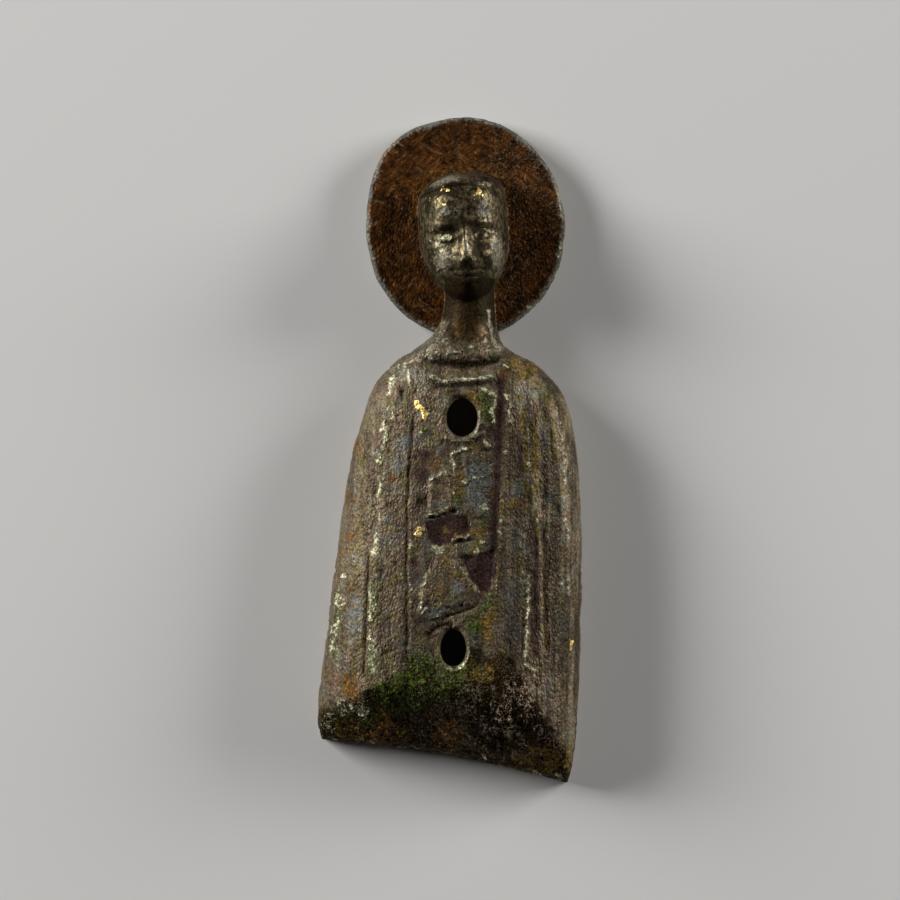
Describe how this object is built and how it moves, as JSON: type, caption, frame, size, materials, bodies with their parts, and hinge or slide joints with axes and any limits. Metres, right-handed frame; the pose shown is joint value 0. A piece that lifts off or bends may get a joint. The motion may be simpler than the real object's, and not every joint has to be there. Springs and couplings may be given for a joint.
{
  "type": "enamelled saint figure",
  "caption": "Half-length saint with a halo, cast in copper alloy with a hollow back, engraved for enamel and pierced with rivet holes, to be fixed flat on a cross or casket.",
  "frame": {"origin": "middle of the figure's outline, on the flat of its back", "axes": "+X to the right of the picture, +Y up the figure to its halo, +Z out of the face; it lies on its back"},
  "size_m": [0.0277, 0.07, 0.0095],
  "materials": {
    "enamelled_bronze": "buried copper alloy with brown and green patina, worn enamel and traces of gilding"
  },
  "bodies": {
    "root": {"saint_figure": "enamelled_bronze"}
  },
  "joints": []
}
